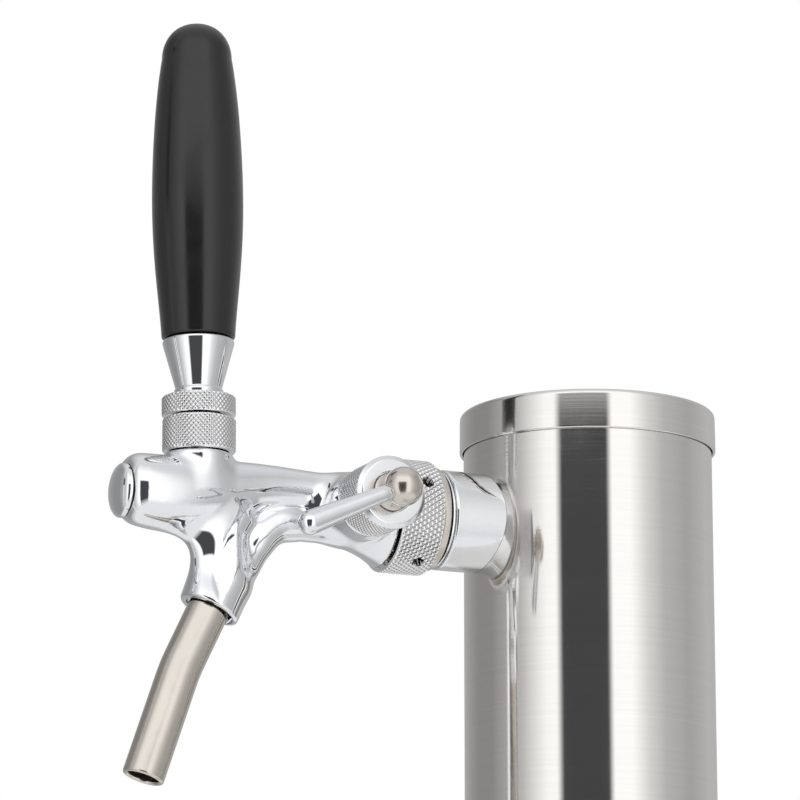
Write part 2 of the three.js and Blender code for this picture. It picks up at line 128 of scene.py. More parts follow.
def handlingMarksGroup():
    # soft smears from handling and wiping, and fine wipe lines, as a roughness to use
    group, into, out = newGroup("handlingMarks", [
        ("Vector", "NodeSocketVector", None), ("Clean Roughness", "NodeSocketFloat", 0.04),
        ("Smear Roughness", "NodeSocketFloat", 0.1), ("Size", "NodeSocketFloat", 60.0)],
        [("Roughness", "NodeSocketFloat"), ("Smear", "NodeSocketFloat")])
    smear = noiseNode(group, into.outputs["Vector"], into.outputs["Size"], 5, 0.6, 0.8)
    wipes = noiseNode(group, stretched(group, into.outputs["Vector"], (900, 900, 120)), 1.0, 2, 0.5)
    mask = mapRange(group, smear, 0.42, 0.72, 0, 1)
    lines = mapRange(group, wipes, 0.5, 0.8, 0, 0.5)
    both = mathNode(group, "ADD", mask, mathNode(group, "MULTIPLY", lines, smear), True)
    rough = mapRange(group, both, 0, 1, into.outputs["Clean Roughness"], into.outputs["Smear Roughness"])
    group.links.new(rough, out.inputs["Roughness"])
    group.links.new(both, out.inputs["Smear"])
    return group


def brushLinesGroup():
    # long fine lines left by brushing: Stretch is small along the line and large across it
    group, into, out = newGroup("brushLines", [
        ("Vector", "NodeSocketVector", None), ("Fine", "NodeSocketFloat", 1.0),
        ("Scratches", "NodeSocketFloat", 1.0)],
        [("Height", "NodeSocketFloat"), ("Scratch", "NodeSocketFloat")])
    fine = noiseNode(group, into.outputs["Vector"], into.outputs["Fine"], 3, 0.65)
    coarseScale = mathNode(group, "MULTIPLY", into.outputs["Fine"], 0.23)
    coarse = noiseNode(group, into.outputs["Vector"], coarseScale, 2, 0.5)
    deepScale = mathNode(group, "MULTIPLY", into.outputs["Fine"], 0.55)
    deep = mapRange(group, noiseNode(group, into.outputs["Vector"], deepScale, 0, 0.5), 0.7, 0.78, 0, 1)
    scratch = mathNode(group, "MULTIPLY", deep, into.outputs["Scratches"], True)
    fineShare = mathNode(group, "MULTIPLY", fine, 0.6)
    height = mathNode(group, "ADD", fineShare, mathNode(group, "MULTIPLY", coarse, 0.4))
    group.links.new(mathNode(group, "SUBTRACT", height, scratch), out.inputs["Height"])
    group.links.new(scratch, out.inputs["Scratch"])
    return group


handlingMarks = handlingMarksGroup()
brushLines = brushLinesGroup()


def placeGroup(tree, group, **values):
    node = tree.nodes.new("ShaderNodeGroup")
    node.node_tree = group
    for label, value in values.items():
        socket = node.inputs[label.replace("_", " ")]
        if isinstance(value, bpy.types.NodeSocket):
            tree.links.new(value, socket)
        else:
            socket.default_value = value
    return node


# Materials

def newMaterial(name, colour, metallic, roughness):
    material = bpy.data.materials.new(name)
    material.use_nodes = True
    tree = material.node_tree
    shader = tree.nodes["Principled BSDF"]
    shader.inputs["Base Color"].default_value = (*colour, 1)
    shader.inputs["Metallic"].default_value = metallic
    shader.inputs["Roughness"].default_value = roughness
    material.diffuse_color = (*colour, 1)
    coords = tree.nodes.new("ShaderNodeTexCoord").outputs["Object"]
    return material, tree, shader, coords


def tintBy(tree, shader, mask, colourA, colourB):
    node = tree.nodes.new("ShaderNodeMix")
    node.data_type = "RGBA"
    tree.links.new(mask, node.inputs[0])
    node.inputs[6].default_value = (*colourA, 1)
    node.inputs[7].default_value = (*colourB, 1)
    tree.links.new(node.outputs[2], shader.inputs["Base Color"])


def bumpFrom(tree, shader, height, strength, distance):
    node = tree.nodes.new("ShaderNodeBump")
    node.inputs["Strength"].default_value = strength
    node.inputs["Distance"].default_value = distance
    tree.links.new(height, node.inputs["Height"])
    tree.links.new(node.outputs["Normal"], shader.inputs["Normal"])


def chromeMaterial(name, clean, smear, waviness):
    material, tree, shader, coords = newMaterial(name, (0.86, 0.87, 0.89), 1, clean)
    marks = placeGroup(tree, handlingMarks, Vector=coords, Clean_Roughness=clean,
                       Smear_Roughness=smear, Size=55.0)
    tree.links.new(marks.outputs["Roughness"], shader.inputs["Roughness"])
    tintBy(tree, shader, marks.outputs["Smear"], (0.87, 0.88, 0.9), (0.82, 0.83, 0.85))
    waves = noiseNode(tree, coords, 95, 1, 0.4)
    bumpFrom(tree, shader, waves, waviness, 0.0004)
    return material


def knurledMaterial():
    material, tree, shader, coords = newMaterial("knurledChrome", (0.9, 0.9, 0.91), 1, 0.12)
    groove = tree.nodes.new("ShaderNodeAttribute")
    groove.attribute_name = "groove"
    depth = groove.outputs["Fac"]
    # the grooves get a darker base colour: painted shade in the knurl's grooves
    tintBy(tree, shader, depth, (0.97, 0.97, 0.98), (0.5, 0.5, 0.51))
    marks = placeGroup(tree, handlingMarks, Vector=coords, Clean_Roughness=0.09,
                       Smear_Roughness=0.16, Size=140.0)
    rough = mathNode(tree, "ADD", marks.outputs["Roughness"], mathNode(tree, "MULTIPLY", depth, 0.2))
    tree.links.new(rough, shader.inputs["Roughness"])
    grain = noiseNode(tree, coords, 2600, 2, 0.6)
    bumpFrom(tree, shader, grain, 0.25, 0.00004)
    return material


def columnMaterial(name, lineScale, strength):
    material, tree, shader, coords = newMaterial(name, (0.8, 0.785, 0.765), 1, 0.12)
    lines = placeGroup(tree, brushLines, Vector=stretched(tree, coords, lineScale), Fine=1.0, Scratches=0.12)
    marks = placeGroup(tree, handlingMarks, Vector=coords, Clean_Roughness=0.06,
                       Smear_Roughness=0.1, Size=16.0)
    streak = mathNode(tree, "MULTIPLY", lines.outputs["Scratch"], 0.06)
    rough = mathNode(tree, "ADD", marks.outputs["Roughness"], streak)
    tree.links.new(rough, shader.inputs["Roughness"])
    tintBy(tree, shader, lines.outputs["Height"], (0.84, 0.825, 0.8), (0.74, 0.725, 0.705))
    bumpFrom(tree, shader, lines.outputs["Height"], strength, 0.00003)
    return material


def nickelMaterial(name, lineScale, roughness):
    material, tree, shader, coords = newMaterial(name, (0.67, 0.63, 0.58), 1, roughness)
    lines = placeGroup(tree, brushLines, Vector=stretched(tree, coords, lineScale), Fine=1.0, Scratches=0.6)
    marks = placeGroup(tree, handlingMarks, Vector=coords, Clean_Roughness=roughness,
                       Smear_Roughness=roughness + 0.1, Size=70.0)
    tree.links.new(marks.outputs["Roughness"], shader.inputs["Roughness"])
    tintBy(tree, shader, lines.outputs["Height"], (0.71, 0.665, 0.61), (0.6, 0.56, 0.515))
    bumpFrom(tree, shader, lines.outputs["Height"], 0.2, 0.00003)
    return material


def gripMaterial():
    material, tree, shader, coords = newMaterial("blackGrip", (0.012, 0.012, 0.013), 0, 0.3)
    skin = noiseNode(tree, coords, 2300, 3, 0.6)
    flow = noiseNode(tree, stretched(tree, coords, (60, 60, 14)), 1.0, 3, 0.5)
    marks = placeGroup(tree, handlingMarks, Vector=coords, Clean_Roughness=0.17,
                       Smear_Roughness=0.3, Size=42.0)
    tree.links.new(marks.outputs["Roughness"], shader.inputs["Roughness"])
    tintBy(tree, shader, flow, (0.010, 0.010, 0.011), (0.019, 0.019, 0.020))
    height = mathNode(tree, "ADD", skin, mathNode(tree, "MULTIPLY", flow, 2.0))
    bumpFrom(tree, shader, height, 0.12, 0.00003)
    shader.inputs["Specular IOR Level"].default_value = 0.55
    return material


def turnedMetal(name, colour, darker, roughness):
    # plain turned metal for the working parts inside
    material, tree, shader, coords = newMaterial(name, colour, 1, roughness)
    rings = placeGroup(tree, brushLines, Vector=stretched(tree, coords, (40, 2600, 40)),
                       Fine=1.0, Scratches=0.5)
    stain = noiseNode(tree, coords, 90, 4, 0.6)
    tintBy(tree, shader, stain, colour, darker)
    rough = mapRange(tree, stain, 0.3, 0.7, roughness - 0.06, roughness + 0.1)
    tree.links.new(rough, shader.inputs["Roughness"])
    bumpFrom(tree, shader, rings.outputs["Height"], 0.3, 0.00003)
    return material


def softMaterial(name, colour, lighter, roughness, grainScale):
    # rubber and nylon: a fine moulded grain and slight patches of dust
    material, tree, shader, coords = newMaterial(name, colour, 0, roughness)
    dust = noiseNode(tree, coords, 75, 5, 0.65)
    tintBy(tree, shader, mapRange(tree, dust, 0.45, 0.75, 0, 1), colour, lighter)
    grain = noiseNode(tree, coords, grainScale, 2, 0.6)
    bumpFrom(tree, shader, grain, 0.35, 0.00006)
    rough = mapRange(tree, grain, 0.3, 0.7, roughness - 0.08, roughness + 0.08)
    tree.links.new(rough, shader.inputs["Roughness"])
    return material


chromeCast = chromeMaterial("chromeCast", 0.03, 0.07, 0.18)
chromeTurned = chromeMaterial("chromeTurned", 0.03, 0.08, 0.04)
satinChrome = chromeMaterial("satinChrome", 0.16, 0.24, 0.02)
knurledChrome = knurledMaterial()
columnSteel = columnMaterial("columnSteel", (14, 14, 2600), 0.35)
capSteel = columnMaterial("capSteel", (22, 22, 2600), 0.12)
spoutNickel = nickelMaterial("spoutNickel", (260, 60, 60), 0.15)
trimNickel = nickelMaterial("trimNickel", (900, 900, 900), 0.16)
blackGrip = gripMaterial()
steelWork = turnedMetal("steelWork", (0.6, 0.6, 0.6), (0.47, 0.46, 0.45), 0.28)
brassWork = turnedMetal("brassWork", (0.74, 0.56, 0.28), (0.56, 0.4, 0.18), 0.28)
blackRubber = softMaterial("blackRubber", (0.018, 0.018, 0.018), (0.05, 0.049, 0.047), 0.62, 1500)
nylon = softMaterial("nylon", (0.8, 0.78, 0.7), (0.68, 0.66, 0.58), 0.45, 900)

slotMaterials = {"chrome": chromeTurned, "knurled_chrome": chromeTurned, "brushed_column": columnSteel,
                 "nickel": trimNickel, "black_grip": blackGrip, "steel": steelWork, "brass": brassWork,
                 "rubber": blackRubber, "washer_plastic": nylon}
for entry in frame["record"]["subparts"]:
    mesh = frame["nodes"][entry["node"]].data
    mesh.materials.clear()
    mesh.materials.append(slotMaterials[entry["material_slot"]])
print("materials made")


# Modelling helpers

upright = Matrix.Identity(4)
forward = Matrix.Rotation(math.radians(90), 4, "X")       # +Z becomes -Y, along the faucet
sideways = Matrix.Rotation(math.radians(90), 4, "Y")      # +Z becomes +X, along the flow stem


def onAxis(way, x=0.0, y=0.0, z=0.0):
    return Matrix.Translation((x * mm, y * mm, z * mm)) @ way


faucetLine = onAxis(forward, 0, 0, tapHeight)
leverLine = onAxis(upright, 0, -leverStation, tapHeight)
lean = {"pivot": 15, "angle": 1.0}      # the closed lever leans a little forward
stickLine = (leverLine @ Matrix.Translation((0, 0, lean["pivot"] * mm))
             @ Matrix.Rotation(math.radians(lean["angle"]), 4, "X")
             @ Matrix.Translation((0, 0, -lean["pivot"] * mm)))
flowLine = onAxis(sideways, 0, -flowStation, tapHeight)


def spun(outline, steps=128):
    # spins [radius, height] points round Z: an outline that doesn't end on the axis is a ring's section
    bm = bmesh.new()
    points = [bm.verts.new((r * mm, 0, h * mm)) for r, h in outline]
    edges = [bm.edges.new(pair) for pair in zip(points, points[1:])]
    if outline[0][0] > 0 or outline[-1][0] > 0:
        edges.append(bm.edges.new((points[-1], points[0])))
    bmesh.ops.spin(bm, geom=points + edges, cent=(0, 0, 0), axis=(0, 0, 1), angle=2 * math.pi,
                   steps=steps, use_merge=True)
    bmesh.ops.remove_doubles(bm, verts=bm.verts, dist=1e-7)
    bmesh.ops.recalc_face_normals(bm, faces=bm.faces)
    return bm


def bevelSharp(bm, width, sharpAngle=25, segments=3):
    sharp = [e for e in bm.edges if len(e.link_faces) == 2
             and e.calc_face_angle() > math.radians(sharpAngle)]
    bmesh.ops.bevel(bm, geom=sharp, offset=width * mm, offset_type="OFFSET", segments=segments,
                    profile=0.5, affect="EDGES", material=-1, clamp_overlap=True)


def finished(name, bm, place, material, body, nodes=(), creaseAngle=40):
    # puts a bmesh in its place, as an object at the origin that rides on a body
    bmesh.ops.transform(bm, matrix=place, verts=bm.verts)
    bmesh.ops.recalc_face_normals(bm, faces=bm.faces)
    mesh = bpy.data.meshes.new(name)
    bm.to_mesh(mesh)
    bm.free()
    mesh.shade_smooth()
    mesh.set_sharp_from_angle(angle=math.radians(creaseAngle))
    mesh.materials.append(material)
    piece = bpy.data.objects.new(name, mesh)
    bpy.context.scene.collection.objects.link(piece)
    weigh = piece.modifiers.new("flatFaces", "WEIGHTED_NORMAL")
    weigh.keep_sharp = True
    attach(piece, body)
    if nodes:
        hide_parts(*nodes)
    return piece


def arcPoints(centre, radius, start, end, count=5):
    # points on an arc of an outline, angles in degrees
    turns = [math.radians(start + (end - start) * i / count) for i in range(count + 1)]
    return [(centre[0] + radius * math.cos(t), centre[1] + radius * math.sin(t)) for t in turns]


def cutAway(bm, cutter):
    # boolean difference of two bmeshes, through two short-lived objects
    pair = []
    for label, source in (("stock", bm), ("cutter", cutter)):
        mesh = bpy.data.meshes.new(label)
        source.to_mesh(mesh)
        source.free()
        thing = bpy.data.objects.new(label, mesh)
        bpy.context.scene.collection.objects.link(thing)
        pair.append(thing)
    stock, tool = pair
    difference = stock.modifiers.new("difference", "BOOLEAN")
    difference.object = tool
    difference.solver = "EXACT"
    view = bpy.context.evaluated_depsgraph_get()
    result = bpy.data.meshes.new_from_object(stock.evaluated_get(view))
    made = bmesh.new()
    made.from_mesh(result)
    for thing in pair:
        mesh = thing.data
        bpy.data.objects.remove(thing)
        bpy.data.meshes.remove(mesh)
    bpy.data.meshes.remove(result)
    return made


def addSpun(bm, outline, place, steps=64):
    extra = spun(outline, steps)
    bmesh.ops.transform(extra, matrix=place, verts=extra.verts)
    mesh = bpy.data.meshes.new("extra")
    extra.to_mesh(mesh)
    extra.free()
    bm.from_mesh(mesh)
    bpy.data.meshes.remove(mesh)


# Knurling

def knurled(name, outline, band, place, body, node, width=0.3, cutter=None):
    # outline: points before and after the band; band: radius, low, high, rows, count, depth
    samples = 8
    rows = band["rows"] * samples
    step = (band["high"] - band["low"]) / rows
    face = [(band["radius"], band["low"] + step * i) for i in range(rows + 1)]
    bm = spun(outline["before"] + face + outline["after"], band["count"] * samples)
    layer = bm.verts.layers.float.new("groove")
    for vert in bm.verts:
        radius = math.hypot(vert.co.x, vert.co.y) / mm
        height = vert.co.z / mm
        if abs(radius - band["radius"]) > 1e-3 or not band["low"] - 0.001 < height < band["high"] + 0.001:
            continue
        around = math.atan2(vert.co.y, vert.co.x) / (2 * math.pi) * band["count"]
        along = (height - band["low"]) / (band["high"] - band["low"]) * band["rows"]
        nearest = min(abs(a - round(a)) for a in (around + along, around - along))
        groove = max(0.0, 1 - nearest / width)
        # groove also darkens the colour in knurledChrome: painted shade in the grooves
        vert[layer] = groove
        sunk = 1 - groove * band["depth"] / radius
        vert.co.x *= sunk
        vert.co.y *= sunk
    if cutter:
        bm = cutAway(bm, cutter)
    return finished(name, bm, place, knurledChrome, body, [node], 75)


# Base and column

base = {"radius": 57.5, "throat": 30, "low": 2.3, "high": 7.3, "edge": 1.6, "spigot": 36.2,
        "circle": 47.5, "hole": 2.9, "sink": 5.8}


def screwPlaces():
    for i in range(4):
        turn = math.radians(45 + 90 * i)
        yield i + 1, base["circle"] * math.cos(turn), base["circle"] * math.sin(turn)


def baseFlange():
    edge, high = base["edge"], base["high"]
    outline = [(base["throat"], base["low"]), (base["radius"] - 0.4, base["low"]),
               (base["radius"], base["low"] + 0.4),
               *arcPoints((base["radius"] - edge, high - edge), edge, 0, 90, 6),
               (columnRadius + 1.6, high), *arcPoints((columnRadius + 1.6, high + 1.3), 1.3, 270, 180, 5)[1:],
               (columnRadius + 0.1, high + 1.3), (columnRadius + 0.1, high + 0.1),
               (base["spigot"], high + 0.1),
               (base["spigot"], high + 9), (base["spigot"] - 1, high + 10), (33, high + 10), (33, high),
               (base["throat"], high)]
    stock = spun(outline, 160)
    cutter = bmesh.new()
    for _, x, y in screwPlaces():
        addSpun(cutter, [(0, 0), (base["hole"], 0), (base["hole"], high - 3.2), (base["sink"], high - 0.3),
                         (base["sink"], high + 1), (0, high + 1)], onAxis(upright, x, y, 0), 48)
    return finished("baseFlange", cutAway(stock, cutter), upright, flangeSteel, "tower",
                    ["base_flange"])


def baseGasket():
    stock = spun([(base["throat"], 0), (56.4, 0), (56.8, 0.4), (56.8, 1.7), (56.5, 2),
                  (base["throat"], 2)], 128)
    cutter = bmesh.new()
    for _, x, y in screwPlaces():
        addSpun(cutter, [(0, -1), (base["hole"], -1), (base["hole"], 3), (0, 3)], onAxis(upright, x, y, 0), 32)
    return finished("baseGasket", cutAway(stock, cutter), upright, blackRubber, "tower",
                    ["base_gasket"])


def baseScrew(number, x, y):
    # a countersunk screw with a cross recess
    high = base["high"]
    shape = spun([(0, 0.3), (1.8, 0.3), (2.4, 1.1), (2.4, high - 3.2), (5.2, high - 0.5),
                  (5.2, high - 0.15), (4.4, high + 0.2), (2.6, high + 0.5), (0, high + 0.65)], 48)
    for turn in (0, 90):
        cutter = bmesh.new()
        bmesh.ops.create_cube(cutter, size=1, matrix=Matrix.Translation((0, 0, (high + 0.1) * mm))
                              @ Matrix.Rotation(math.radians(turn), 4, "Z")
                              @ Matrix.Diagonal((5.2 * mm, 1.05 * mm, 3 * mm, 1)))
        shape = cutAway(shape, cutter)
    twist = Matrix.Rotation(math.radians(23 * number), 4, "Z")
    finished(f"baseScrew{number}", shape, onAxis(upright, x, y, 0) @ twist, steelWork, "tower",
             [f"base_screw_{number}"])


def columnTube():
    hole = {"radius": 11.5, "reach": 16}
    wall = 1.5
    levels = [columnLow, tapHeight - hole["reach"], tapHeight + hole["reach"], columnHigh]
    outer = [(columnRadius, z) for z in levels]
    inner = [(columnRadius - wall, z) for z in reversed(levels)]
    stock = spun(outer + inner, 192)
    cutter = bmesh.new()
    addSpun(cutter, [(0, 20), (hole["radius"], 20), (hole["radius"], 50), (0, 50)], faucetLine)
    return finished("columnTube", cutAway(stock, cutter), upright, columnSteel, "tower",
                    ["column_tube"])


def topCap():
    cap = {"skin": 1.6, "edge": 1.5, "plug": 34.2, "lip": 0.6}
    under = capHigh - cap["skin"]
    lip = cap["lip"]
    drawnIn = 0.12
    outline = [(0, under), (cap["plug"] - 1, under), (cap["plug"] - 1, capLow + 1), (cap["plug"], capLow + 1),
               (cap["plug"], under), (columnRadius + 0.3, under), (columnRadius + 0.3, capLow + 0.1),
               (columnRadius + 0.4, capLow), (capRadius - lip, capLow),
               *arcPoints((capRadius - lip, capLow + lip), lip, 300, 360, 3),
               *arcPoints((capRadius - drawnIn - cap["edge"], capHigh - cap["edge"]), cap["edge"], 0, 90, 8),
               (0, capHigh)]
    return finished("topCap", spun(outline, 192), upright, capSteel, "cap", ["top_cap"])


flangeSteel = columnMaterial("flangeSteel", (40, 40, 1500), 0.4)
baseFlange()
baseGasket()
for number, x, y in screwPlaces():
    baseScrew(number, x, y)
columnTube()
topCap()
print("base and column made")


# Shank and coupling

coupling = {"radius": 17.25, "rear": 55.6, "front": 69.0, "bore": 14.4, "lip": 11.4, "face": 16.1,
            "holes": 60.8, "hole": 1.9, "turn": 27.5}


def shankCollar():
    # a sleeve whose rear end is shaped to the column, with a thin ring turned on its front
    collar = {"radius": 15.1, "front": 51.2, "bore": 11.4, "edge": 0.9, "ring": 14.7}
    rear = 30
    edge, front, ring = collar["edge"], collar["front"], collar["ring"]
    bm = spun([(collar["bore"], rear), (collar["radius"], rear),
               *arcPoints((collar["radius"] - edge, front - edge), edge, 0, 90, 5),
               (ring - 0.9, front), (ring - 0.9, front + 0.3), (ring - 0.2, front + 0.3),
               (ring, front + 0.5), (ring - 0.1, front + 0.9), (ring - 0.5, front + 1.05),
               (collar["bore"], front + 1.05)], 128)
    reach = columnRadius + 0.08
    for vert in bm.verts:
        if vert.co.z < (rear + 0.5) * mm:
            vert.co.z = math.sqrt((reach * mm) ** 2 - vert.co.x ** 2)
    return finished("shankCollar", bm, faucetLine, chromeTurned, "tower", ["shank_collar"])


def lockRing():
    ring = {"inner": 11.4, "outer": 15.6, "low": 53.1, "high": 55.3}
    bm = spun([(ring["inner"], ring["low"]), (ring["outer"], ring["low"]), (ring["outer"], ring["high"]),
               (ring["inner"], ring["high"])], 128)
    bevelSharp(bm, 0.35)
    return finished("lockRing", bm, faucetLine, trimNickel, "tower", ["shank_lock_ring"])


def collarWasher():
    bm = spun([(11.4, 52.3), (13.7, 52.3), (13.9, 52.6), (13.7, 53.0), (11.4, 53.0)], 96)
    return finished("collarWasher", bm, faucetLine, blackRubber, "tower", ["collar_washer"])


def couplingNut():
    c = coupling
    front = c["front"]
    band = {"radius": c["radius"], "low": c["rear"] + 0.6, "high": front - 0.5, "rows": 5, "count": 64,
            "depth": 0.42}
    before = [(c["lip"], c["rear"] + 1.6), (c["lip"], c["rear"]), (c["radius"] - 0.8, c["rear"]),
              (c["radius"] - 0.35, c["rear"] + 0.3)]
    after = [(c["radius"] - 0.25, front - 0.2), (c["radius"] - 0.5, front), (c["face"] + 0.1, front + 0.12),
             (c["face"], front), (c["face"] - 0.1, front - 1.2), (c["bore"], front - 1.2),
             (c["bore"], c["rear"] + 1.6)]
    cutter = bmesh.new()
    for i in range(4):
        spoke = Matrix.Rotation(math.radians(c["turn"] + 90 * i), 4, "Z") @ sideways
        addSpun(cutter, [(0, 13), (c["hole"], 13), (c["hole"], 20), (0, 20)],
                onAxis(upright, 0, 0, c["holes"]) @ spoke, 40)
    return knurled("couplingNut", {"before": before, "after": after}, band, faucetLine, "tower",
                   "coupling_nut", cutter=cutter)


shankCollar()
collarWasher()
lockRing()
couplingNut()
print("coupling made")


# Faucet body: a smooth union of simple forms

outletTilt = math.radians(25.6)
mouth = np.array([0, 124.6, -33.1])
upTheOutlet = np.array([0, -math.sin(outletTilt), math.cos(outletTilt)])
acrossOutlet = np.array([0, math.cos(outletTilt), math.sin(outletTilt)])
faucetForm = {"rear": 69.3, "front": 152.0, "neckTop": 13.1, "mouthBore": 7.5, "bossFace": 16.4, "cell": 0.55,
              "box": ((-16.4, 68, -44), (17.4, 153.5, 17))}

# The forms are in [x, station, height] about the faucet's axis, in millimetres.


def taperedBar(points, start, end, startRadius, endRadius):
    start, end = np.array(start, float), np.array(end, float)
    way = end - start
    share = np.clip((points - start) @ way / (way @ way), 0, 1)
    nearest = start + share[:, None] * way
    return np.linalg.norm(points - nearest, axis=1) - (startRadius + (endRadius - startRadius) * share)


def barChain(points, stops, width):
    # stops are [x, station, height, radius]
    chain = None
    for (*start, startRadius), (*end, endRadius) in zip(stops, stops[1:]):
        bar = taperedBar(points, start, end, startRadius, endRadius)
        chain = bar if chain is None else blend(chain, bar, width)
    return chain


def blend(a, b, width):
    # smooth minimum: a fillet about as wide as width where two forms meet
    share = np.clip(0.5 + 0.5 * (b - a) / width, 0, 1)
    return b + (a - b) * share - width * share * (1 - share)


def cutBack(form, plane, width):
    # keeps the form where plane is negative, with a rounded edge
    return -blend(-form, -plane, width)


def inletCone(points):
    station = points[:, 1]
    radius = 8.6 + 6.9 * np.exp(-np.clip(station - 70.5, 0, None) / 10)
    radius -= 0.045 * np.clip(station - 84, 0, None) ** 2
    across = np.hypot(points[:, 0], points[:, 2] + 0.2)
    return (across - np.maximum(radius, 0.5)) * 0.8


def upOutlet(up, across=0.0):
    return tuple(mouth + up * upTheOutlet + across * acrossOutlet)


def curve(stops):
    # a smooth curve close to [place, value] stops, held level beyond them
    places, values = zip(*stops)
    fit = np.polynomial.Polynomial.fit(places, values, min(5, len(stops) - 1))
    return lambda at: fit(np.clip(at, places[0], places[-1]))


barrelHeight = curve([(84, 4.7), (92, 4.7), (100, 4.7), (108.5, 4.4), (116, 3.3), (128, 1.2), (136, 0.5),
                      (146, 1.0), (153, 1.2)])
barrelRadius = curve([(84, 6.4), (92, 6.4), (100, 6.6), (108.5, 7.5), (116, 8.6), (128, 10.4), (136, 11.3),
                      (146, 10.7), (153, 9.8)])


def ease(at, start, end):
    share = np.clip((at - start) / (end - start), 0, 1)
    return share * share * (3 - 2 * share)


def outletLobe(points):
    # round at the mouth, then egg-shaped: narrower towards the front, and giving way to the passage behind
    reach = points - mouth
    up, across = reach @ upTheOutlet, reach @ acrossOutlet
    narrow, giveWay = ease(up, 0, 10), ease(up, 9, 27)
    frontRadius = 9 - 3.4 * narrow
    rearRadius = 9 - 0.2 * narrow - 2.6 * giveWay
    frontCentre = 9 + 0.13 * np.clip(up, 0, 30) - frontRadius
    rearCentre = 5 * giveWay
    span = np.maximum(frontCentre - rearCentre, 0.01)
    share = np.clip((across - rearCentre) / span, 0, 1)
    lobe = np.hypot(points[:, 0], across - rearCentre - share * span) - rearRadius
    return np.maximum(lobe - share * (frontRadius - rearRadius), up - 28)


def bodyField(points):
    station = points[:, 1]
    barrel = np.hypot(points[:, 0], points[:, 2] - barrelHeight(station)) - barrelRadius(station)
    withInlet = blend(barrel, inletCone(points), 3)
    neck = np.hypot(points[:, 0], station - leverStation) - 10
    neck = np.maximum(cutBack(neck, points[:, 2] - faucetForm["neckTop"], 1.2), 2 - points[:, 2])
    withNeck = blend(withInlet, neck, 2.6)
    # the fillet is widest down the front, where the bulb runs into the outlet
    frontward = np.clip(0.5 + (points - mouth) @ acrossOutlet / 9, 0, 1)
    middling = np.clip(1 - (points[:, 0] / 9) ** 2, 0, 1)
    solid = blend(withNeck, outletLobe(points), 4 + 11 * frontward * middling)
    passage = barChain(points, [(0, 84, -5.2, 5), (0, 99.3, -5.2, 5), (0, 102.4, -5.5, 5),
                                (0, 105.2, -6.9, 5), (0, 107.6, -9, 5), (0, 109.5, -11.5, 5),
                                (*upOutlet(10, -3.6), 5), (*upOutlet(-2, -3.6), 5)], 2)
    boss = np.hypot(points[:, 1] - flowStation, points[:, 2]) - 10.2
    boss = np.maximum(boss, -points[:, 0])
    whole = blend(blend(solid, passage, 2.0), boss, 2.5)
    whole = cutBack(whole, points[:, 1] - faucetForm["front"], 5.5)
    whole = cutBack(whole, faucetForm["rear"] - points[:, 1], 1.2)
    whole = cutBack(whole, (mouth - points) @ upTheOutlet, 0.9)
    return cutBack(whole, points[:, 0] - faucetForm["bossFace"], 1.2)


def netOver(field, low, high, step):
    # a quad skin over the field: one point in each grid cell it passes through, one quad over
    # each grid edge it crosses
    axes = [np.arange(a, b, step) for a, b in zip(low, high)]
    grid = np.stack(np.meshgrid(*axes, indexing="ij"), -1)
    value = field(grid.reshape(-1, 3)).reshape(grid.shape[:3])
    total = np.zeros(grid.shape)
    hits = np.zeros(grid.shape[:3])
    rings = []
    for axis in range(3):
        start = value[tuple(slice(0, -1) if i == axis else slice(None) for i in range(3))]
        end = value[tuple(slice(1, None) if i == axis else slice(None) for i in range(3))]
        cells = np.argwhere((start < 0) != (end < 0))
        cells = cells[(cells[:, (axis + 1) % 3] > 0) & (cells[:, (axis + 2) % 3] > 0)]
        at = tuple(cells.T)
        crossing = cells.astype(float)
        crossing[:, axis] += start[at] / (start[at] - end[at])
        one, two = np.eye(3, dtype=int)[(axis + 1) % 3], np.eye(3, dtype=int)[(axis + 2) % 3]
        around = [cells, cells - one, cells - one - two, cells - two]
        for cell in around:
            np.add.at(total, tuple(cell.T), crossing)
            np.add.at(hits, tuple(cell.T), 1)
        rings.append(np.stack(around, 1))
    used = hits > 0
    number = np.full(hits.shape, -1)
    number[used] = np.arange(used.sum())
    points = total[used] / hits[used][:, None] * step + np.array(low)
    quads = number[tuple(np.moveaxis(np.concatenate(rings), -1, 0))]
    return points, quads


def laidOnField(field, points, quads, rounds):
    # evens the spacing, and brings each point back onto the field's surface
    ends = np.concatenate([quads[:, [i, (i + 1) % 4]] for i in range(4)])
    links = np.bincount(ends.ravel(), minlength=len(points))[:, None]
    small = 0.02
    for turn in range(rounds):
        if turn:
            total = np.zeros_like(points)
            np.add.at(total, ends[:, 0], points[ends[:, 1]])
            np.add.at(total, ends[:, 1], points[ends[:, 0]])
            points = points * 0.5 + total / links * 0.5
        for _ in range(2):
            value = field(points)
            slope = np.stack([field(points + small * axis) - field(points - small * axis)
                              for axis in np.eye(3)], 1) / (2 * small)
            size = np.maximum((slope ** 2).sum(1), 0.3)
            points = points - np.clip(value / size, -0.25, 0.25)[:, None] * slope
    return points


def faucetPoint(station, height):
    return Vector((0, -station * mm, (tapHeight + height) * mm))


plugLine = faucetLine @ Matrix.Translation((0, 0.3 * mm, 0))


